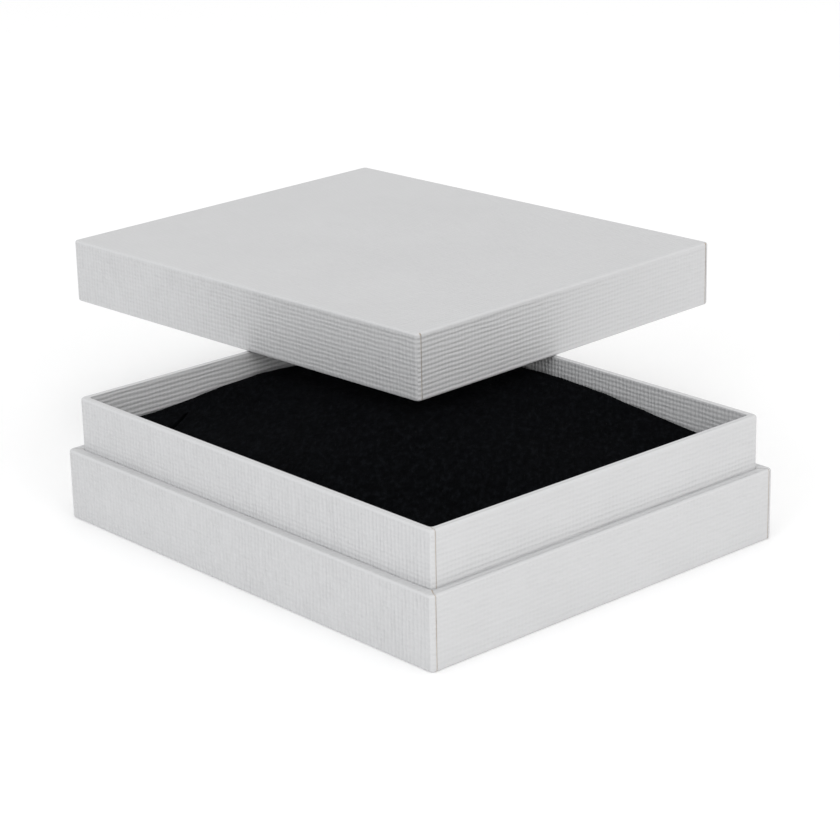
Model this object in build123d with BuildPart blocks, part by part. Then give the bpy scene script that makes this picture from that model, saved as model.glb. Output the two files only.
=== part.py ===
"""Rigid paper-covered jewelry gift box with a shoulder neck, a velvet insert and a lift-off lid.

Units are millimetres. +Z is up and the origin is the centre of the base's underside.
The lid is parked level with the neck's rim, set back and turned a little.
Every layer of a tray is laid out from the tray's closed face towards its open side, so the
base and the lid share one set of functions and one set of sizes.
"""
import os

from build123d import *

os.makedirs("parts", exist_ok=True)

# Overall sizes, measured over the wrap paper
box_width = 80.0
box_depth = 95.7
base_height = 12.9
lid_height = 12.4

# Sheet stock
paper_thick = 0.15
board_thick = 1.2
neck_board_thick = 0.8
stay_thick = 0.1
insert_card_thick = 0.8
velvet_thick = 0.5

# Corners, laps and seams
wrap_corner_radius = 0.8
neck_corner_radius = 0.7
lap_gap = 0.5  # between the turned-in paper's edge and the lining on the tray's floor
stay_leg = 9.0
crease_gap = 0.04  # between the creased panels of one wrapped sheet
neck_joint_gap = 0.15  # where the two ends of the folded neck strip meet

# Fits
neck_clearance = 0.3  # between the neck and the walls of the base and the lid, each side
lid_headroom = 1.2  # between the neck's rim and the lid's lining when the box is closed
insert_clearance = 0.3  # between the velvet and the neck, each side
liner_clearance = 0.4  # between a lining sheet and the walls round it, each side
core_clearance = 0.05  # between the velvet and the card and foam it wraps

# Insert
insert_height = 16.9
insert_corner_radius = 2.0
insert_edge_radius = 1.6
velvet_lap = 9.0  # velvet turned under the card
slit_length = 11.0
slit_width = 1.2
slit_depth = 9.0
slit_angle = 35.0
slit_from_side = 14.5  # slit centre to the side of the box
slit_from_back = 13.9  # slit centre to the back of the box

# Where the parked lid rests
lid_set_right = 39.1
lid_set_back = 49.9
lid_turn = 2.75
lid_rest_gap = 0.2  # between the parked lid and the neck's rim

# Sizes that follow from the ones above
tray_wall = 2 * paper_thick + stay_thick + board_thick
tray_floor = paper_thick + board_thick
tray_lining = tray_floor + paper_thick
board_inset = paper_thick + stay_thick
neck_inset = tray_wall + neck_clearance
neck_wall = 2 * paper_thick + stay_thick + neck_board_thick
neck_top = base_height + lid_height - tray_lining - lid_headroom
neck_height = neck_top - tray_floor
insert_inset = neck_inset + neck_wall + insert_clearance
core_inset = insert_inset + velvet_thick + core_clearance
foam_bottom = velvet_thick + insert_card_thick
foam_top = insert_height - velvet_thick - core_clearance

# The outermost inset of each wrapped piece, with its corner radius there
tray_corner = (0, wrap_corner_radius)
neck_corner = (neck_inset, neck_corner_radius)
insert_corner = (insert_inset, insert_corner_radius)

# Planes that the pieces are laid out from
base_face = Plane.XY
neck_foot = Plane.XY.offset(tray_floor)
insert_foot = Plane.XY.offset(tray_lining)
lid_rest_height = neck_top + lid_rest_gap
lid_rest = Plane(Location((lid_set_right, lid_set_back, lid_rest_height), (0, 0, lid_turn)))
lid_face = Plane(lid_rest.offset(lid_height).origin, x_dir=lid_rest.x_dir, z_dir=-lid_rest.z_dir)


def footprint(inset, corner, mode=Mode.ADD):
    """The box's outline drawn in by an inset, with corners that stay concentric."""
    corner_inset, corner_radius = corner
    radius = corner_radius - (inset - corner_inset)
    width = box_width - 2 * inset
    depth = box_depth - 2 * inset
    if radius > 0:
        RectangleRounded(width, depth, radius, mode=mode)
    else:
        Rectangle(width, depth, mode=mode)


def slab(face, start, end, inset, corner, mode=Mode.ADD):
    """A plate of the inset outline between two heights over a face."""
    with BuildSketch(face.offset(start)) as outline:
        footprint(inset, corner)
    extrude(outline.sketch, amount=end - start, mode=mode)


def band(face, start, end, outer_inset, inner_inset, corner, mode=Mode.ADD):
    """A closed band between two insets and between two heights over a face."""
    with BuildSketch(face.offset(start)) as outline:
        footprint(outer_inset, corner)
        footprint(inner_inset, corner, Mode.SUBTRACT)
    extrude(outline.sketch, amount=end - start, mode=mode)


def tray_wrap(face, height):
    """Cover paper of a tray: a panel on the closed face and four up the walls and over the rim."""
    under_rim = height - paper_thick
    lap_edge = tray_lining + lap_gap
    with BuildPart() as wrap:
        slab(face, 0, paper_thick, paper_thick + crease_gap, tray_corner)
        band(face, 0, height, 0, paper_thick, tray_corner)
        band(face, under_rim, height, paper_thick, tray_wall, tray_corner)
        band(face, lap_edge, under_rim, tray_wall - paper_thick, tray_wall, tray_corner)
        with BuildSketch(face):
            for side in (-1, 1):
                for end in (-1, 1):
                    mitre_x = side * (box_width - tray_wall) / 2
                    mitre_y = end * (box_depth - tray_wall) / 2
                    with Locations(Location((mitre_x, mitre_y), 45 * side * end)):
                        Rectangle(2 * tray_wall, crease_gap)
        extrude(amount=height, mode=Mode.SUBTRACT)
    return wrap


def tray_board(face, height):
    """Scored greyboard folded into an open tray."""
    rim = height - paper_thick
    with BuildPart() as board:
        slab(face, paper_thick, rim, board_inset, tray_corner)
        slab(face, tray_floor, rim, board_inset + board_thick, tray_corner, Mode.SUBTRACT)
    return board


def tray_stays(face, height):
    """Gummed paper stays that hold the tray's four corners, under the wrap."""
    long_leg = paper_thick + stay_leg
    with BuildPart() as stays:
        band(face, paper_thick, height - paper_thick, paper_thick, board_inset, tray_corner)
        with BuildSketch(face):
            Rectangle(box_width - 2 * long_leg, box_depth)
            Rectangle(box_width, box_depth - 2 * long_leg)
        extrude(amount=height, mode=Mode.SUBTRACT)
    return stays


def lining(face, wall):
    """A loose-cut paper sheet glued to a tray's floor, inside the walls round it."""
    with BuildPart() as sheet:
        slab(face, tray_floor, tray_lining, wall + liner_clearance, tray_corner)
    return sheet


def shoulder_board():
    """The neck: a scored strip of thin board folded round, its ends meeting at one corner."""
    outer = neck_inset + board_inset
    inner = outer + neck_board_thick
    with BuildPart() as board:
        band(neck_foot, 0, neck_height - paper_thick, outer, inner, neck_corner)
        with BuildSketch(neck_foot):
            with Locations((box_width / 2 - inner, box_depth / 2 - inner - neck_joint_gap / 2)):
                Rectangle(2 * neck_wall, neck_joint_gap)
        extrude(amount=neck_height, mode=Mode.SUBTRACT)
    return board


def shoulder_tape():
    """Gummed tape over the corner where the neck strip's ends meet."""
    outer = neck_inset + paper_thick
    with BuildPart() as tape:
        band(neck_foot, 0, neck_height - paper_thick, outer, outer + stay_thick, neck_corner)
        with BuildSketch(neck_foot):
            with Locations((box_width / 2 - outer, box_depth / 2 - outer)):
                Rectangle(2 * stay_leg, 2 * stay_leg)
        extrude(amount=neck_height, mode=Mode.INTERSECT)
    return tape


def shoulder_wrap():
    """Cover paper of the neck: up its outside, over the rim and down to the floor inside."""
    inner = neck_inset + neck_wall
    with BuildPart() as wrap:
        band(neck_foot, 0, neck_height, neck_inset, neck_inset + paper_thick, neck_corner)
        band(neck_foot, neck_height - paper_thick, neck_height, neck_inset, inner, neck_corner)
        band(neck_foot, 0, neck_height, inner - paper_thick, inner, neck_corner)
    return wrap


def cut_slits():
    """Two short chain slits across the insert's back corners."""
    slit_x = box_width / 2 - slit_from_side
    slit_y = box_depth / 2 - slit_from_back
    with BuildSketch(insert_foot.offset(insert_height)) as slits:
        for side in (-1, 1):
            with Locations((side * slit_x, slit_y)):
                SlotOverall(slit_length, slit_width, rotation=-side * slit_angle)
    extrude(slits.sketch, amount=-slit_depth, mode=Mode.SUBTRACT)


def pad_velvet():
    """Velvet drawn over the foam's top and sides and lapped under the card."""
    with BuildPart() as velvet:
        slab(insert_foot, 0, insert_height, insert_inset, insert_corner)
        fillet(faces().sort_by(Axis.Z)[-1].edges(), insert_edge_radius)
        offset(amount=-velvet_thick, openings=faces().sort_by(Axis.Z)[0])
        lap_edge = insert_inset + velvet_lap
        band(insert_foot, 0, velvet_thick, insert_inset + velvet_thick, lap_edge, insert_corner)
        cut_slits()
    return velvet


def pad_card():
    """Card that keeps the insert flat, lying on the velvet's lap."""
    with BuildPart() as card:
        slab(insert_foot, velvet_thick, foam_bottom, core_inset, insert_corner)
    return card


def pad_foam():
    """Foam block between the card and the velvet."""
    with BuildPart() as foam:
        slab(insert_foot, foam_bottom, foam_top, core_inset, insert_corner)
        fillet(faces().sort_by(Axis.Z)[-1].edges(), insert_edge_radius - velvet_thick)
        cut_slits()
    return foam


pieces = {
    "base_wrap": tray_wrap(base_face, base_height),
    "base_board": tray_board(base_face, base_height),
    "base_corner_stays": tray_stays(base_face, base_height),
    "base_lining": lining(base_face, neck_inset + neck_wall),
    "neck_board": shoulder_board(),
    "neck_seam_tape": shoulder_tape(),
    "neck_wrap": shoulder_wrap(),
    "insert_card": pad_card(),
    "insert_foam": pad_foam(),
    "insert_velvet": pad_velvet(),
    "lid_wrap": tray_wrap(lid_face, lid_height),
    "lid_board": tray_board(lid_face, lid_height),
    "lid_corner_stays": tray_stays(lid_face, lid_height),
    "lid_lining": lining(lid_face, tray_wall),
}

for name, piece in pieces.items():
    piece.part.label = name
    export_step(piece.part, f"parts/{name}.step")
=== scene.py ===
"""Paper covers, velvet pad, finishes and studio for a rigid jewelry gift box.

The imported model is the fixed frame: it gives every place and size that is not a property below.
"""
import math

import bpy
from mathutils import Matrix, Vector, noise


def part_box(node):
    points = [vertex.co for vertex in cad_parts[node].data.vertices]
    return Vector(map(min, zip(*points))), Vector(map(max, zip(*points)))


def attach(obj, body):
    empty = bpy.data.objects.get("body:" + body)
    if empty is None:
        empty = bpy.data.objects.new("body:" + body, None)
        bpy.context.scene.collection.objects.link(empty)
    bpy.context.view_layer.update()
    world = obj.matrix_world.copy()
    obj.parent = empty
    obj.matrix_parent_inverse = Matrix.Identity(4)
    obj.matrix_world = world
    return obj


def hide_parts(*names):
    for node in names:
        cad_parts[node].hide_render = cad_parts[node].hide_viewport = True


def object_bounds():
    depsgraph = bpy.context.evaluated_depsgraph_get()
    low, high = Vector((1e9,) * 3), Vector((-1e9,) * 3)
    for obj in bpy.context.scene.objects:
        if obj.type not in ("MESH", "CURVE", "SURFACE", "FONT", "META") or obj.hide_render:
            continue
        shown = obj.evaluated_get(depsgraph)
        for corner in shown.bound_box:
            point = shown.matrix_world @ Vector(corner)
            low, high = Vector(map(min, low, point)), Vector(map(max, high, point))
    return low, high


bl_info = {
    "name": "Jewelry gift box",
    "version": (1, 0, 0),
    "blender": (4, 5, 0),
    "location": "3D View > Sidebar > Gift Box",
    "description": "Linen paper covers, a velvet insert and a studio for a rigid gift box",
    "category": "Add Mesh",
}

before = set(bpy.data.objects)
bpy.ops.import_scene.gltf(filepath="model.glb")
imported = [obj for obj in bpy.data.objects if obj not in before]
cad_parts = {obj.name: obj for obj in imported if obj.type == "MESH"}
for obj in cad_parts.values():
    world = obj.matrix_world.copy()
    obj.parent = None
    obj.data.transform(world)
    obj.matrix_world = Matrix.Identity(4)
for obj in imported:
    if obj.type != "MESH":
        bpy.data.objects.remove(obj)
cad_low, cad_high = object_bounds()

MM = 0.001
SMOOTH_UP_TO = math.radians(35)  # faces that meet at more than this stay sharp
ON_LEVEL = 0.01 * MM  # how near a height a point counts as on it
NEAR_FOOT = 0.1 * MM
EDGE_SLACK = 0.35 * MM  # how far from an outline its edges are looked for
ARC_STEPS = 4  # straight runs in a rounded edge
CORNER_STEPS = 8  # straight runs in an upright rounded corner

# Linen emboss
SHEET_MAP = "sheet"  # the UV map that lays a cover out flat, in metres
THREAD_RUN = 130.0  # how often a thread wanders, per metre of its length
THREAD_WANDER = 0.75  # how far it wanders, in pitches
THREAD_SWELL = 2.2  # how many times as often it swells and fades
CROSS_SHARE = 0.15  # depth of the cross threads as a share of the ribs'
SIDE_CROSS = 0.65  # how much deeper the cross threads are on the side walls
SIDE_RIBS = 0.55  # how much deeper the ribs are there
HOLLOW_SHADE_SHARE = 0.22  # painted shade: how much darker the paper is coloured in the hollows of the emboss, where their shade falls
BURNISH = 0.85  # how much of the emboss is rubbed flat at a fold
PATCHES = 110.0  # patches of strong and weak emboss, per metre
PAPER_FIBRE = 9000.0  # per metre
PAPER_CLOUD = 45.0  # per metre

# Plain pulp stock
STREAKS = (300.0, 300.0, 1800.0)  # fibre streaks per metre along each axis
STREAK_SHARE = 0.4  # the rest of the tone is specks

# Velvet
NAP_TURN = math.radians(45)  # the way that the nap is brushed
NAP_LAY = 2.4  # how much longer the nap's pattern is along that way
BRUSHED = 90.0  # brushed patches per metre
NAP = 1900.0  # fibre tips per metre
TUFTS = 1300.0  # tufts per metre
PILE_DEPTH = 0.35 * MM

# Pad and its cloth
TENFOLD = 10  # the pad is swollen at ten times its size, where cloth behaves better
SIDE_REACH = 0.7  # share of the pad's half width that the end walls' crown takes up
END_REACH = 0.9  # share of its half depth that the side walls' crown takes up
PAD_UPRIGHT = 1.0 * MM  # radius of its upright corners before it swells
PAD_TOP_EDGE = 0.45 * MM  # radius of its top edge before it swells
HELD_FOOT = 3.0 * MM  # height of the foot that the cloth keeps in place
UNEVEN_SCALE = 25.0  # pitch of the unevenness, at ten times size
CLOTH_FRAMES = 20
CLOTH_PRESSURE = 4.0
CLOTH_QUALITY = 5

# Seams
SEAM_PATCH = 4 * MM  # square at a corner that holds its seam
FOLD_REACH = 1.05  # how far a fold's curve reaches in, in radii

# Studio
FLOOR_SIZE = 6.0
FLOOR_DROP = 0.02 * MM  # keeps the floor clear of the base's underside
FLOOR_GLOW = 0.06
SKY_STRENGTH = 0.85
LAMPS = (  # name, place, size in metres, power in watts, tint
    ("front_lamp", (-0.10, -0.75, 0.26), 0.4, 1.0, (1.0, 0.985, 0.965)),
    ("side_lamp", (-1.2, -0.3, 0.5), 0.6, 2.3, (0.94, 0.97, 1.0)),
    ("top_lamp", (0.0, 0.0, 1.3), 0.9, 2.2, (1.0, 1.0, 1.0)),
)
CAMERA_LENS = 112.1
CAMERA_PLACE = (-0.2875, -0.3211, 0.1690)
CAMERA_TURN = (70.92, 1.16, -42.4)  # degrees


# Properties ------------------------------------------------------------------------------

def length(name, description, default_mm):
    """A length property in metres with its default in millimetres."""
    return bpy.props.FloatProperty(
        name=name, description=description, default=default_mm * MM, min=0.0,
        unit="LENGTH", precision=5,
    )


def angle(name, description, default_degrees):
    """An angle property in radians with its default in degrees."""
    return bpy.props.FloatProperty(
        name=name, description=description, default=math.radians(default_degrees),
        subtype="ANGLE",
    )


def colour(name, description, default):
    """A linear RGB colour property."""
    return bpy.props.FloatVectorProperty(
        name=name, description=description, default=default, size=3, min=0.0, max=1.0,
        subtype="COLOR",
    )


class GIFTBOX_PG_sizes(bpy.types.PropertyGroup):
    """Sizes of the covers and the pad that the frame does not give."""

    paper: length("Paper", "Thickness of the cover paper", 0.15)
    wall: length("Tray wall", "Covered wall thickness of the base and the lid", 1.6)
    neck_wall: length("Neck wall", "Covered wall thickness of the neck", 1.2)
    base_rim: length("Base rim", "Width of the base's rim, rolled in to the neck", 1.87)
    lap_edge: length("Lap edge", "Height of the turned-in paper's edge over a closed face", 2.0)
    corner: length("Corner rounding", "Radius of the upright wrapped corners", 0.8)
    edge: length("Edge rounding", "Radius of the wrapped edges", 0.45)
    foot_edge: length("Foot rounding", "Radius of the edge that the box stands on", 0.35)
    rim_edge: length("Rim rounding", "Radius of the rims' inner edge", 0.15)
    seam_inset: length("Seam inset", "From a corner to the cut edge of the paper beside it", 1.0)
    seam_width: length("Seam width", "Width of the gap at a paper seam", 0.2)
    seam_depth: length("Seam depth", "Depth of the gap at a paper seam", 0.09)
    rib_pitch: length("Rib pitch", "Spacing of the linen emboss's ribs", 0.86)
    cross_pitch: length("Cross pitch", "Spacing of the linen emboss's cross threads", 0.84)
    rib_depth: length("Rib depth", "Depth of the linen emboss", 0.042)
    pad_play: length("Pad play", "How far past its CAD box the pad may swell at the sides", 0.1)
    pad_corner: length("Pad corner drop", "From the pad's nominal top down to its corners", 1.1)
    pad_side_rise: length("Pad side rise", "Crown at the middle of the long walls", 2.5)
    pad_end_rise: length("Pad end rise", "Crown at the middle of the short walls", 1.5)
    pad_crown: length("Pad crown", "Further rise in the pad's middle", 0.3)
    pad_uneven: length("Pad unevenness", "How far the nap's surface wanders up and down", 0.15)
    pad_swell: length("Pad swell", "Most that the cloth may move the velvet", 0.35)
    pad_voxel: length("Pad voxel", "Mesh size of the pad before it swells", 0.9)
    slit: length("Slit length", "Length of a chain slit", 11.0)
    slit_gap: length("Slit gap", "Width of a chain slit", 0.9)
    slit_from_side: length("Slit from side", "From the box's side to a slit's middle", 14.5)
    slit_from_back: length("Slit from back", "From the box's back to a slit's middle", 13.9)
    slit_depth: length("Slit depth", "Depth of a chain slit", 7.0)
    slit_turn: angle("Slit turn", "Turn of a slit across its corner", 35.0)
    lid_turn: angle("Lid turn", "Turn of the parked lid", 2.75)


class GIFTBOX_PG_colours(bpy.types.PropertyGroup):
    """Colours of the box and the floor."""

    paper: colour("Cover paper", "White linen-embossed paper", (0.598, 0.599, 0.605))
    cut_edge: colour("Cut edge", "Core of the cover paper where it is cut", (0.50, 0.43, 0.36))
    velvet: colour("Velvet", "Black velvet over the insert", (0.0016, 0.0018, 0.0022))
    board: colour("Greyboard", "Core board of the trays and the neck", (0.33, 0.30, 0.26))
    tape: colour("Gummed paper", "Stays and tape at the board's corners", (0.56, 0.43, 0.28))
    lining: colour("Lining", "Plain white lining paper", (0.82, 0.82, 0.81))
    floor: colour("Floor", "Studio floor", (0.97, 0.97, 0.97))


# Materials -------------------------------------------------------------------------------

class Shader:
    """Adds the nodes of one material, and links them by plain calls."""

    def __init__(self, name, roughness, base):
        self.material = bpy.data.materials.new(name)
        self.material.use_nodes = True
        self.tree = self.material.node_tree
        self.surface = self.tree.nodes["Principled BSDF"]
        self.surface.inputs["Roughness"].default_value = roughness
        self.surface.inputs["Base Color"].default_value = (*base, 1.0)

    def node(self, kind, **settings):
        made = self.tree.nodes.new(kind)
        for key, value in settings.items():
            setattr(made, key, value)
        return made

    def feed(self, socket, value):
        if isinstance(value, bpy.types.NodeSocket):
            self.tree.links.new(value, socket)
        else:
            socket.default_value = value

    def math(self, operation, *values):
        made = self.node("ShaderNodeMath", operation=operation)
        for socket, value in zip(made.inputs, values):
            self.feed(socket, value)
        return made.outputs[0]

    def noise(self, vector, scale, detail=3.0, roughness=0.6):
        made = self.node("ShaderNodeTexNoise")
        self.feed(made.inputs["Vector"], vector)
        made.inputs["Scale"].default_value = scale
        made.inputs["Detail"].default_value = detail
        made.inputs["Roughness"].default_value = roughness
        return made.outputs["Fac"]

    def stretched(self, vector, scale):
        made = self.node("ShaderNodeMapping")
        self.feed(made.inputs["Vector"], vector)
        made.inputs["Scale"].default_value = scale
        return made.outputs["Vector"]

    def place(self):
        return self.node("ShaderNodeTexCoord").outputs["Object"]

    def spread(self, value, low, high):
        made = self.node("ShaderNodeMapRange")
        self.feed(made.inputs["Value"], value)
        made.inputs["To Min"].default_value = low
        made.inputs["To Max"].default_value = high
        return made.outputs["Result"]

    def tinted(self, factor, dark, light):
        made = self.node("ShaderNodeMix", data_type="RGBA")
        self.feed(made.inputs["Factor"], factor)
        made.inputs["A"].default_value = (*dark, 1.0)
        made.inputs["B"].default_value = (*light, 1.0)
        return made.outputs["Result"]

    def bump(self, height, distance, strength=1.0):
        made = self.node("ShaderNodeBump")
        self.feed(made.inputs["Height"], height)
        made.inputs["Distance"].default_value = distance
        made.inputs["Strength"].default_value = strength
        self.tree.links.new(made.outputs["Normal"], self.surface.inputs["Normal"])


def shade(base, factor):
    """A colour made lighter or darker."""
    return tuple(min(1.0, channel * factor) for channel in base)


def thread_set(paper, sheet, run, step, pitch):
    """One set of embossed threads: they wander, and swell and fade along their length."""
    axes = paper.node("ShaderNodeSeparateXYZ")
    paper.feed(axes.inputs[0], sheet)
    long_run = [THREAD_RUN if axis == run else 1 / (3 * pitch) for axis in "XYZ"]
    wander = paper.noise(paper.stretched(sheet, long_run), 1.0, 2.0)
    place = paper.math("MULTIPLY_ADD", wander, THREAD_WANDER * pitch, axes.outputs[step])
    wave = paper.math("SINE", paper.math("MULTIPLY", place, 2 * math.pi / pitch))
    each_thread = [THREAD_SWELL * THREAD_RUN if axis == run else 1 / pitch for axis in "XYZ"]
    swelling = paper.noise(paper.stretched(sheet, each_thread), 1.0, 1.0)
    return paper.math("MULTIPLY", wave, paper.spread(swelling, 0.2, 1.6))


def linen_paper(sizes, colours):
    """White cover paper with a pressed linen emboss that follows the flat sheet, and painted
    shade in its hollows.
    """
    paper = Shader("linen_emboss", 0.55, colours.paper)
    sheet = paper.node("ShaderNodeUVMap", uv_map=SHEET_MAP).outputs["UV"]
    ribs = thread_set(paper, sheet, "X", "Y", sizes.rib_pitch)
    cross = thread_set(paper, sheet, "Y", "X", sizes.cross_pitch)

    lean = paper.node("ShaderNodeSeparateXYZ")
    paper.feed(lean.inputs[0], paper.node("ShaderNodeNewGeometry").outputs["Normal"])
    side = paper.math("POWER", lean.outputs["X"], 2.0)
    rib_share = paper.math("MULTIPLY_ADD", side, SIDE_RIBS, 1.0)
    cross_share = paper.math("MULTIPLY_ADD", side, SIDE_CROSS, CROSS_SHARE)
    cross_part = paper.math("MULTIPLY", cross, cross_share)
    weave = paper.math("ADD", paper.math("MULTIPLY", ribs, rib_share), cross_part)
    level = paper.math("ABSOLUTE", lean.outputs["Z"])
    upright = paper.math("SUBTRACT", 1.0, level)
    burnished = paper.math("MULTIPLY", paper.math("MULTIPLY", level, upright), 4.0)
    pressed = paper.math("SUBTRACT", 1.0, paper.math("MULTIPLY", burnished, BURNISH))
    patches = paper.spread(paper.noise(sheet, PATCHES, 2.0), 0.45, 1.4)
    relief = paper.math("MULTIPLY", weave, paper.math("MULTIPLY", pressed, patches))
    fibre = paper.noise(sheet, PAPER_FIBRE, 4.0, 0.7)
    paper.bump(paper.math("MULTIPLY_ADD", fibre, 0.35, relief), sizes.rib_depth)

    cloud = paper.noise(paper.place(), PAPER_CLOUD, 3.0)
    # Painted shade: the paper is coloured darker in the hollows of the emboss, where shade falls,
    # and lighter on the rounded edges; the cloud is tone that differs at random.
    tone = paper.math("MULTIPLY_ADD", relief, HOLLOW_SHADE_SHARE, cloud)
    tone_with_painted_shade = paper.math("MULTIPLY_ADD", burnished, 0.5, tone)
    base = paper.tinted(tone_with_painted_shade, shade(colours.paper, 0.96), shade(colours.paper, 1.03))
    paper.feed(paper.surface.inputs["Base Color"], base)
    paper.feed(paper.surface.inputs["Roughness"], paper.spread(fibre, 0.48, 0.66))
    return paper.material


def fibrous(name, base, roughness, grain, depth, contrast):
    """Plain pulp stock: fibres, specks and a fine tooth."""
    stock = Shader(name, roughness, base)
    place = stock.place()
    specks = stock.noise(place, grain, 5.0, 0.75)
    streaks = stock.noise(stock.stretched(place, STREAKS), 1.0, 3.0)
    speckled = stock.math("MULTIPLY", specks, 1.0 - STREAK_SHARE)
    tone = stock.math("MULTIPLY_ADD", streaks, STREAK_SHARE, speckled)
    low, high = shade(base, 1.0 - contrast), shade(base, 1.0 + contrast)
    stock.feed(stock.surface.inputs["Base Color"], stock.tinted(tone, low, high))
    rough = stock.spread(specks, roughness - 0.08, roughness + 0.08)
    stock.feed(stock.surface.inputs["Roughness"], rough)
    stock.bump(specks, depth)
    return stock.material


def black_velvet(colours):
    """Short-pile black velvet: a soft sheen, brushed patches and a fine nap."""
    velvet = Shader("velvet_pile", 0.92, colours.velvet)
    velvet.surface.inputs["Sheen Weight"].default_value = 0.004
    velvet.surface.inputs["Sheen Roughness"].default_value = 0.45
    velvet.surface.inputs["Sheen Tint"].default_value = (0.75, 0.80, 1.0, 1.0)
    velvet.surface.inputs["Specular IOR Level"].default_value = 0.01
    lay = velvet.node("ShaderNodeMapping", vector_type="TEXTURE")
    velvet.feed(lay.inputs["Vector"], velvet.place())
    lay.inputs["Rotation"].default_value = (0.0, 0.0, NAP_TURN)
    lay.inputs["Scale"].default_value = (NAP_LAY, 1.0, 1.0)
    place = lay.outputs["Vector"]
    brushed = velvet.noise(place, BRUSHED, 4.0, 0.55)
    nap = velvet.noise(place, NAP, 4.0, 0.75)
    tufts = velvet.noise(place, TUFTS, 2.0, 0.6)
    turned = velvet.math("MULTIPLY", velvet.math("POWER", tufts, 5.0), 6.0)
    tone = velvet.math("ADD", velvet.math("MULTIPLY", nap, 0.5), turned)
    tone = velvet.math("MULTIPLY_ADD", brushed, 0.4, velvet.math("SUBTRACT", tone, 0.35))
    low, high = shade(colours.velvet, 0.25), shade(colours.velvet, 2.8)
    velvet.feed(velvet.surface.inputs["Base Color"], velvet.tinted(tone, low, high))
    velvet.feed(velvet.surface.inputs["Roughness"], velvet.spread(brushed, 0.85, 1.0))
    velvet.bump(velvet.math("MULTIPLY_ADD", tufts, 0.6, nap), PILE_DEPTH)
    return velvet.material


# Mesh work -------------------------------------------------------------------------------

def deselect():
    """Leaves nothing selected, in object mode."""
    if bpy.context.object and bpy.context.object.mode != "OBJECT":
        bpy.ops.object.mode_set(mode="OBJECT")
    bpy.ops.object.select_all(action="DESELECT")


def pick(piece, mode, test):
    """Selects in edit mode the faces, edges or vertices whose place and normal pass a test."""
    bpy.ops.mesh.select_mode(type=mode)
    bpy.ops.mesh.select_all(action="DESELECT")
    bpy.ops.object.mode_set(mode="OBJECT")
    mesh = piece.data
    if mode == "FACE":
        for face in mesh.polygons:
            face.select = test(face.center, face.normal)
    elif mode == "EDGE":
        for edge in mesh.edges:
            ends = [mesh.vertices[i].co for i in edge.vertices]
            edge.select = test(ends[0], ends[1])
    else:
        for vertex in mesh.vertices:
            vertex.select = test(vertex.co, vertex.normal)
    bpy.ops.object.mode_set(mode="EDIT")


def outline(name, width, depth, radius, height):
    """A rounded rectangle with one face, drawn at a height, left in edit mode."""
    deselect()
    bpy.ops.mesh.primitive_plane_add(size=1, location=(0, 0, height))
    piece = bpy.context.object
    piece.name = name
    piece.data.name = name
    piece.scale = (width, depth, 1)
    bpy.ops.object.transform_apply(location=True, rotation=True, scale=True)
    bpy.ops.object.mode_set(mode="EDIT")
    bpy.ops.mesh.select_mode(type="VERT")
    bpy.ops.mesh.select_all(action="SELECT")
    bpy.ops.mesh.bevel(
        offset=radius, segments=CORNER_STEPS, affect="VERTICES", clamp_overlap=False
    )
    return piece


def climb(distance):
    """Extrudes what is selected straight up, or down."""
    bpy.ops.mesh.extrude_region_move(TRANSFORM_OT_translate={"value": (0, 0, distance)})


def draw_in(width, depth, inset):
    """Extrudes the selected outline in place and scales it in by an inset on each side."""
    bpy.ops.mesh.extrude_region_move(TRANSFORM_OT_translate={"value": (0, 0, 0)})
    shrink = ((width - 2 * inset) / width, (depth - 2 * inset) / depth, 1)
    bpy.ops.transform.resize(value=shrink, center_override=(0, 0, 0))


def round_edges(piece, size, height, inset, radius):
    """Bevels the closed line of edges at one height and one inset from the outline."""
    width, depth = size

    def on_line(point):
        reach = min(width / 2 - abs(point.x), depth / 2 - abs(point.y))
        return abs(point.z - height) < ON_LEVEL and abs(reach - inset) <= EDGE_SLACK

    pick(piece, "EDGE", lambda a, b: on_line(a) and on_line(b))
    bpy.ops.mesh.bevel(
        offset=radius, segments=ARC_STEPS, affect="EDGES", clamp_overlap=False
    )


def cut_line(point, normal):
    """Cuts the selected faces with an endless plane and keeps both sides."""
    bpy.ops.mesh.bisect(plane_co=point, plane_no=normal, clear_inner=False, clear_outer=False)


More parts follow.
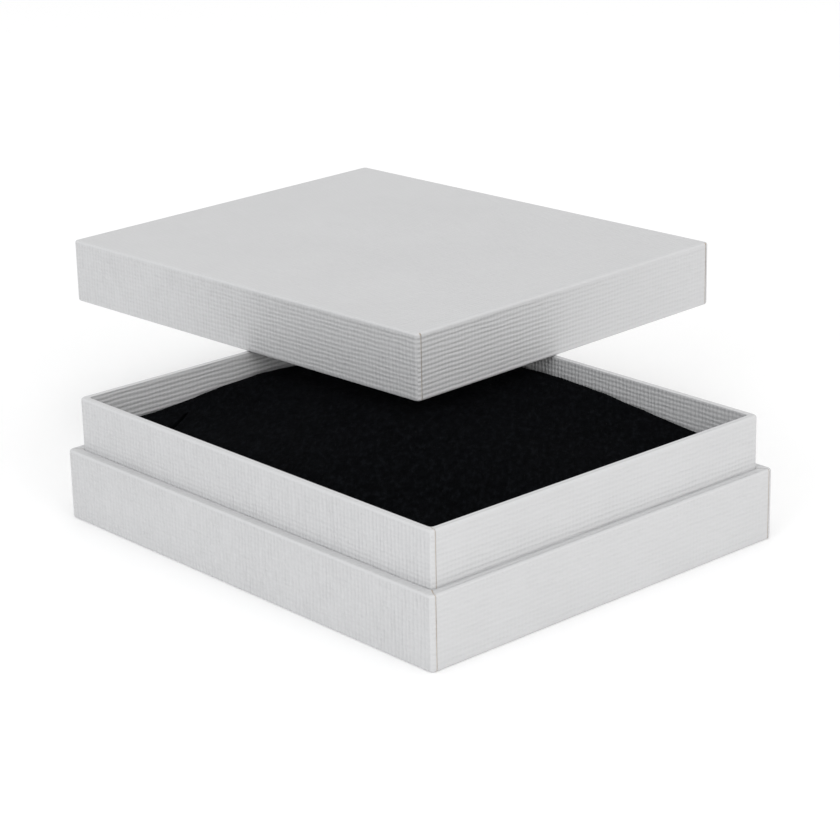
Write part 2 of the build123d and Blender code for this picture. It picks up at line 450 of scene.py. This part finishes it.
def press_seam(piece, size, corner, wall, height, sizes):
    """Presses the seam beside one corner: up the wall, over the edge and mitred on the rim."""
    width, depth = size
    side, end = corner
    half = sizes.seam_width / 2
    seam_x = side * (width / 2 - sizes.seam_inset)
    rim_start = Vector((seam_x, end * (depth / 2 - FOLD_REACH * sizes.edge), height))
    rim_end = Vector((side * (width / 2 - wall), end * (depth / 2 - wall), height))
    mitre = (rim_end - rim_start).cross(Vector((0, 0, 1))).normalized()

    def near(centre):
        beside = side * centre.x > width / 2 - SEAM_PATCH
        return beside and end * centre.y > depth / 2 - SEAM_PATCH

    def on_wall(centre, normal):
        return near(centre) and end * (centre.y - rim_start.y) > 0 and abs(normal.x) < 0.05

    def on_rim(centre, normal):
        inside = end * (rim_start.y - centre.y) > 0 and side * (width / 2 - wall - centre.x) < 0
        return near(centre) and inside and normal.z > 0.9 and centre.z > height / 2

    bpy.ops.mesh.select_all(action="SELECT")
    cut_line((side * (width / 2 - SEAM_PATCH), 0, 0), (1, 0, 0))
    bpy.ops.mesh.select_all(action="SELECT")
    cut_line((0, end * (depth / 2 - SEAM_PATCH), 0), (0, 1, 0))
    pick(piece, "FACE", lambda c, n: near(c))
    cut_line(rim_start, (0, 1, 0))
    for shift in (-half, half):
        pick(piece, "FACE", on_wall)
        cut_line((seam_x + shift, 0, 0), (1, 0, 0))
        pick(piece, "FACE", on_rim)
        cut_line(rim_start + shift * mitre, mitre)

    def in_seam(centre, normal):
        if on_wall(centre, normal):
            return abs(centre.x - seam_x) < half
        return on_rim(centre, normal) and abs((centre - rim_start).dot(mitre)) < half

    pick(piece, "FACE", in_seam)
    piece.active_material_index = 1
    bpy.ops.object.material_slot_assign()
    bpy.ops.mesh.extrude_region_shrink_fatten(
        TRANSFORM_OT_shrink_fatten={"value": -sizes.seam_depth}
    )


def lay_out_flat(piece):
    """Writes each face's place on the flat sheet to the UV map: ribs run along U."""
    bpy.ops.object.mode_set(mode="OBJECT")
    mesh = piece.data
    sheet = mesh.uv_layers.new(name=SHEET_MAP)
    for face in mesh.polygons:
        lean_x, lean_y, lean_z = (abs(part) for part in face.normal)
        for corner in face.loop_indices:
            x, y, z = mesh.vertices[mesh.loops[corner].vertex_index].co
            if lean_z > max(lean_x, lean_y):
                sheet.data[corner].uv = (x, y)
            elif lean_y > lean_x:
                sheet.data[corner].uv = (x, z)
            else:
                sheet.data[corner].uv = (z, y)


def modify(piece, kind, **settings):
    """Adds a modifier, sets it and applies it."""
    deselect()
    piece.select_set(True)
    bpy.context.view_layer.objects.active = piece
    modifier = piece.modifiers.new(kind.lower(), kind)
    for key, value in settings.items():
        setattr(modifier, key, value)
    bpy.ops.object.modifier_apply(modifier=modifier.name)


def settle(piece):
    """Applies the object's place, turn and scale, so that its mesh holds them."""
    deselect()
    piece.select_set(True)
    bpy.context.view_layer.objects.active = piece
    bpy.ops.object.transform_apply(location=True, rotation=True, scale=True)


def fold_cover(name, size, height, wall, lap_edge, closed_edge, seams, sizes):
    """Folds cover paper round a tray or a neck that stands on z = 0 with its open side up."""
    width, depth = size
    piece = outline(name, width, depth, sizes.corner, 0)
    piece.data.materials.append(bpy.data.materials["linen_emboss"])
    piece.data.materials.append(bpy.data.materials["cut_paper"])
    climb(height)
    draw_in(width, depth, wall)
    climb(lap_edge - height)
    bpy.ops.mesh.delete(type="FACE")
    if not closed_edge:
        pick(piece, "FACE", lambda c, n: abs(n.z) > 0.9 and c.z < NEAR_FOOT)
        bpy.ops.mesh.delete(type="FACE")
    bpy.ops.mesh.select_all(action="SELECT")
    bpy.ops.mesh.normals_make_consistent(inside=False)
    round_edges(piece, size, height, 0.0, sizes.edge)
    round_edges(piece, size, height, wall, sizes.rim_edge)
    if closed_edge:
        round_edges(piece, size, 0.0, 0.0, closed_edge)
    for corner in seams:
        press_seam(piece, size, corner, wall, height, sizes)
    lay_out_flat(piece)
    modify(piece, "SOLIDIFY", thickness=sizes.paper, offset=-1.0, use_even_offset=True)
    bpy.ops.object.shade_smooth_by_angle(angle=SMOOTH_UP_TO)
    modify(piece, "WEIGHTED_NORMAL", keep_sharp=True, weight=100)
    return piece


ALL_CORNERS = [(side, end) for side in (-1, 1) for end in (-1, 1)]
FRONT_CORNER = [(-1, -1)]


# Covers ----------------------------------------------------------------------------------

class GIFTBOX_OT_base_cover(bpy.types.Operator):
    """Fold the linen paper round the base tray"""

    bl_idname = "giftbox.base_cover"
    bl_label = "Base Cover"

    def execute(self, context):
        sizes = context.scene.giftbox_sizes
        low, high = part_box("base_wrap")
        size = (high.x - low.x, high.y - low.y)
        piece = fold_cover(
            "base_cover", size, high.z - low.z, sizes.base_rim, sizes.lap_edge,
            sizes.foot_edge, ALL_CORNERS, sizes,
        )
        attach(piece, "base")
        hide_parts("base_wrap")
        return {"FINISHED"}


class GIFTBOX_OT_neck_cover(bpy.types.Operator):
    """Fold the linen paper over the neck, outside and inside"""

    bl_idname = "giftbox.neck_cover"
    bl_label = "Neck Cover"

    def execute(self, context):
        sizes = context.scene.giftbox_sizes
        low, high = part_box("neck_wrap")
        size = (high.x - low.x, high.y - low.y)
        piece = fold_cover(
            "neck_cover", size, high.z - low.z, sizes.neck_wall, 0.0,
            None, FRONT_CORNER, sizes,
        )
        piece.location = (0, 0, low.z)
        settle(piece)
        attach(piece, "base")
        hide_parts("neck_wrap")
        return {"FINISHED"}


class GIFTBOX_OT_lid_cover(bpy.types.Operator):
    """Fold the linen paper round the lid and turn it over onto its place"""

    bl_idname = "giftbox.lid_cover"
    bl_label = "Lid Cover"

    def execute(self, context):
        sizes = context.scene.giftbox_sizes
        low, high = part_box("lid_wrap")
        base_low, base_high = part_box("base_wrap")
        size = (base_high.x - base_low.x, base_high.y - base_low.y)
        piece = fold_cover(
            "lid_cover", size, high.z - low.z, sizes.wall, sizes.lap_edge,
            sizes.edge, ALL_CORNERS, sizes,
        )
        piece.rotation_euler = (math.pi, 0, sizes.lid_turn)
        piece.location = ((low.x + high.x) / 2, (low.y + high.y) / 2, high.z)
        settle(piece)
        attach(piece, "lid")
        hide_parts("lid_wrap")
        return {"FINISHED"}


# Insert ----------------------------------------------------------------------------------

def pad_rise(x, y, half_x, half_y, sizes):
    """How far the pad's top stands over its corners: it crowns to the middle of each wall."""
    across = math.cos(math.pi / 2 * min(1, abs(x) / (SIDE_REACH * half_x))) ** 2
    along = math.cos(math.pi / 2 * min(1, abs(y) / (END_REACH * half_y))) ** 2
    side = sizes.pad_side_rise * along
    return side + sizes.pad_end_rise * across * (1 - along) + sizes.pad_crown * across * along


def swell(piece, cap):
    """Swells a closed pad by cloth under pressure: its foot is glued, a cap holds each point."""
    start = [vertex.co.copy() for vertex in piece.data.vertices]
    foot = min(point.z for point in start)
    glued = piece.vertex_groups.new(name="glued")
    held = [i for i, point in enumerate(start) if point.z < foot + TENFOLD * HELD_FOOT]
    glued.add(held, 1.0, "REPLACE")
    cloth = piece.modifiers.new("cloth", "CLOTH")
    cloth.settings.vertex_group_mass = glued.name
    cloth.settings.use_pressure = True
    cloth.settings.uniform_pressure_force = CLOTH_PRESSURE
    cloth.settings.effector_weights.gravity = 0.0
    cloth.settings.quality = CLOTH_QUALITY
    cloth.point_cache.frame_start = 1
    cloth.point_cache.frame_end = CLOTH_FRAMES
    for step in range(1, CLOTH_FRAMES + 1):
        bpy.context.scene.frame_set(step)
    shaped = piece.evaluated_get(bpy.context.evaluated_depsgraph_get())
    moved = [vertex.co.copy() for vertex in shaped.data.vertices]
    piece.modifiers.remove(cloth)
    bpy.context.scene.frame_set(1)
    for vertex, before, after in zip(piece.data.vertices, start, moved):
        push = after - before
        if push.length > cap:
            push *= cap / push.length
        vertex.co = before + push


class GIFTBOX_OT_velvet_pad(bpy.types.Operator):
    """Swell the velvet pad inside the neck and cut its chain slits"""

    bl_idname = "giftbox.velvet_pad"
    bl_label = "Velvet Pad"

    def execute(self, context):
        sizes = context.scene.giftbox_sizes
        low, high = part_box("insert_velvet")
        half_x = high.x + sizes.pad_play
        half_y = high.y + sizes.pad_play
        corner_top = high.z - sizes.pad_corner

        deselect()
        bpy.ops.mesh.primitive_cube_add(size=2, location=(0, 0, (low.z + corner_top) / 2))
        pad = context.object
        pad.name = "velvet_pad"
        pad.data.name = "velvet_pad"
        pad.scale = (high.x - sizes.pad_swell, high.y - sizes.pad_swell, (corner_top - low.z) / 2)
        settle(pad)
        bpy.ops.object.mode_set(mode="EDIT")
        pick(pad, "EDGE", lambda a, b: abs(a.z - b.z) > 5 * MM)
        bpy.ops.mesh.bevel(offset=PAD_UPRIGHT, segments=5, affect="EDGES")
        pick(pad, "EDGE", lambda a, b: min(a.z, b.z) > corner_top - 0.1 * MM)
        bpy.ops.mesh.bevel(offset=PAD_TOP_EDGE, segments=ARC_STEPS, affect="EDGES")
        bpy.ops.object.mode_set(mode="OBJECT")
        pad.scale = (TENFOLD, TENFOLD, TENFOLD)
        settle(pad)
        modify(pad, "REMESH", mode="VOXEL", voxel_size=TENFOLD * sizes.pad_voxel)
        for vertex in pad.data.vertices:
            share = (vertex.co.z / TENFOLD - low.z) / (corner_top - low.z)
            rise = pad_rise(vertex.co.x / TENFOLD, vertex.co.y / TENFOLD, half_x, half_y, sizes)
            uneven = sizes.pad_uneven * noise.noise(vertex.co * UNEVEN_SCALE)
            vertex.co.z += TENFOLD * (rise + uneven) * max(0.0, share) ** 2
        swell(pad, TENFOLD * sizes.pad_swell)
        pad.scale = (1 / TENFOLD, 1 / TENFOLD, 1 / TENFOLD)
        settle(pad)
        for vertex in pad.data.vertices:
            place = vertex.co
            place.x = max(-half_x, min(half_x, place.x))
            place.y = max(-half_y, min(half_y, place.y))
            place.z = max(low.z, place.z)
        modify(pad, "SUBSURF", levels=1, render_levels=1)
        self.cut_slits(pad, high.z, sizes)
        modify(pad, "WEIGHTED_NORMAL", keep_sharp=True)
        pad.data.materials.clear()
        pad.data.materials.append(bpy.data.materials["velvet_pile"])
        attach(pad, "insert")
        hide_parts("insert_velvet", "insert_foam")
        return {"FINISHED"}

    def cut_slits(self, pad, top, sizes):
        """Cuts both chain slits with a lens-shaped blade."""
        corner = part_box("base_wrap")[1]
        for side in (-1, 1):
            deselect()
            bpy.ops.mesh.primitive_cylinder_add(
                vertices=24, radius=0.5, depth=2 * sizes.slit_depth, location=(0, 0, 0)
            )
            blade = bpy.context.object
            blade.scale = (sizes.slit, sizes.slit_gap, 1)
            blade.rotation_euler = (0, 0, -side * sizes.slit_turn)
            blade.location = (
                side * (corner.x - sizes.slit_from_side),
                corner.y - sizes.slit_from_back,
                top,
            )
            settle(blade)
            modify(pad, "BOOLEAN", object=blade, operation="DIFFERENCE", solver="EXACT")
            bpy.data.objects.remove(blade)


# Boards, stays and linings ---------------------------------------------------------------

class GIFTBOX_OT_core_finishes(bpy.types.Operator):
    """Give the boards, stays, tape, card and linings of the frame their finishes"""

    bl_idname = "giftbox.core_finishes"
    bl_label = "Core Finishes"

    def execute(self, context):
        finishes = {
            "raw_greyboard": ["base_board", "neck_board", "lid_board", "insert_card"],
            "kraft_tape": ["base_corner_stays", "lid_corner_stays", "neck_seam_tape"],
            "plain_lining": ["base_lining", "lid_lining"],
        }
        for finish, nodes in finishes.items():
            for node in nodes:
                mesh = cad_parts[node].data
                mesh.materials.clear()
                mesh.materials.append(bpy.data.materials[finish])
        return {"FINISHED"}


class GIFTBOX_OT_finishes(bpy.types.Operator):
    """Make the materials of the box"""

    bl_idname = "giftbox.finishes"
    bl_label = "Materials"

    def execute(self, context):
        sizes = context.scene.giftbox_sizes
        colours = context.scene.giftbox_colours
        linen_paper(sizes, colours)
        fibrous("cut_paper", colours.cut_edge, 0.8, 4000.0, 0.01 * MM, 0.12)
        fibrous("raw_greyboard", colours.board, 0.85, 2500.0, 0.03 * MM, 0.18)
        fibrous("kraft_tape", colours.tape, 0.6, 3000.0, 0.015 * MM, 0.10)
        fibrous("plain_lining", colours.lining, 0.6, 5000.0, 0.008 * MM, 0.02)
        black_velvet(colours)
        return {"FINISHED"}


# Studio ----------------------------------------------------------------------------------

class GIFTBOX_OT_studio(bpy.types.Operator):
    """Set the pale floor, the soft lights and the camera"""

    bl_idname = "giftbox.studio"
    bl_label = "Studio"

    def execute(self, context):
        scene = context.scene
        colours = scene.giftbox_colours
        deselect()
        bpy.ops.mesh.primitive_plane_add(
            size=FLOOR_SIZE, location=(0, 0, cad_low.z - FLOOR_DROP)
        )
        floor = context.object
        floor.name = "studio_floor"
        table = Shader("studio_floor", 0.9, colours.floor)
        table.surface.inputs["Emission Color"].default_value = (1.0, 1.0, 1.0, 1.0)
        table.surface.inputs["Emission Strength"].default_value = FLOOR_GLOW
        floor.data.materials.append(table.material)

        world = bpy.data.worlds.new("studio")
        world.use_nodes = True
        sky = world.node_tree.nodes["Background"]
        sky.inputs["Color"].default_value = (1, 1, 1, 1)
        sky.inputs["Strength"].default_value = SKY_STRENGTH
        scene.world = world
        scene.view_settings.view_transform = "Standard"

        for lamp in LAMPS:
            self.lamp(context, *lamp)

        camera_data = bpy.data.cameras.new("camera")
        camera = bpy.data.objects.new("camera", camera_data)
        scene.collection.objects.link(camera)
        camera_data.lens = CAMERA_LENS
        camera_data.clip_start = 0.01
        camera.location = CAMERA_PLACE
        camera.rotation_euler = [math.radians(degrees) for degrees in CAMERA_TURN]
        scene.camera = camera
        return {"FINISHED"}

    def lamp(self, context, name, place, size, power, tint):
        """Adds a square soft light that faces the middle of the box."""
        middle = (cad_low + cad_high) / 2
        deselect()
        bpy.ops.object.light_add(type="AREA", location=place)
        light = context.object
        light.name = name
        light.data.size = size
        light.data.energy = power
        light.data.color = tint
        light.rotation_euler = (Vector(place) - middle).to_track_quat("Z", "Y").to_euler()


# Panel and registration ------------------------------------------------------------------

STEPS = (
    GIFTBOX_OT_finishes,
    GIFTBOX_OT_studio,
    GIFTBOX_OT_base_cover,
    GIFTBOX_OT_neck_cover,
    GIFTBOX_OT_lid_cover,
    GIFTBOX_OT_velvet_pad,
    GIFTBOX_OT_core_finishes,
)


class GIFTBOX_PT_panel(bpy.types.Panel):
    """The gift box's pieces, sizes and colours"""

    bl_idname = "GIFTBOX_PT_panel"
    bl_label = "Gift Box"
    bl_space_type = "VIEW_3D"
    bl_region_type = "UI"
    bl_category = "Gift Box"

    def draw(self, context):
        layout = self.layout
        for step in STEPS:
            layout.operator(step.bl_idname)
        for group in (context.scene.giftbox_sizes, context.scene.giftbox_colours):
            column = layout.column(align=True)
            for name in group.__annotations__:
                column.prop(group, name)


CLASSES = (GIFTBOX_PG_sizes, GIFTBOX_PG_colours, *STEPS, GIFTBOX_PT_panel)


def register():
    for item in CLASSES:
        bpy.utils.register_class(item)
    bpy.types.Scene.giftbox_sizes = bpy.props.PointerProperty(type=GIFTBOX_PG_sizes)
    bpy.types.Scene.giftbox_colours = bpy.props.PointerProperty(type=GIFTBOX_PG_colours)


def unregister():
    del bpy.types.Scene.giftbox_colours
    del bpy.types.Scene.giftbox_sizes
    for item in reversed(CLASSES):
        bpy.utils.unregister_class(item)


def main():
    register()
    bpy.ops.giftbox.finishes()
    bpy.ops.giftbox.studio()
    bpy.ops.giftbox.base_cover()
    bpy.ops.giftbox.neck_cover()
    bpy.ops.giftbox.lid_cover()
    bpy.ops.giftbox.velvet_pad()
    bpy.ops.giftbox.core_finishes()


if __name__ == "__main__":
    main()
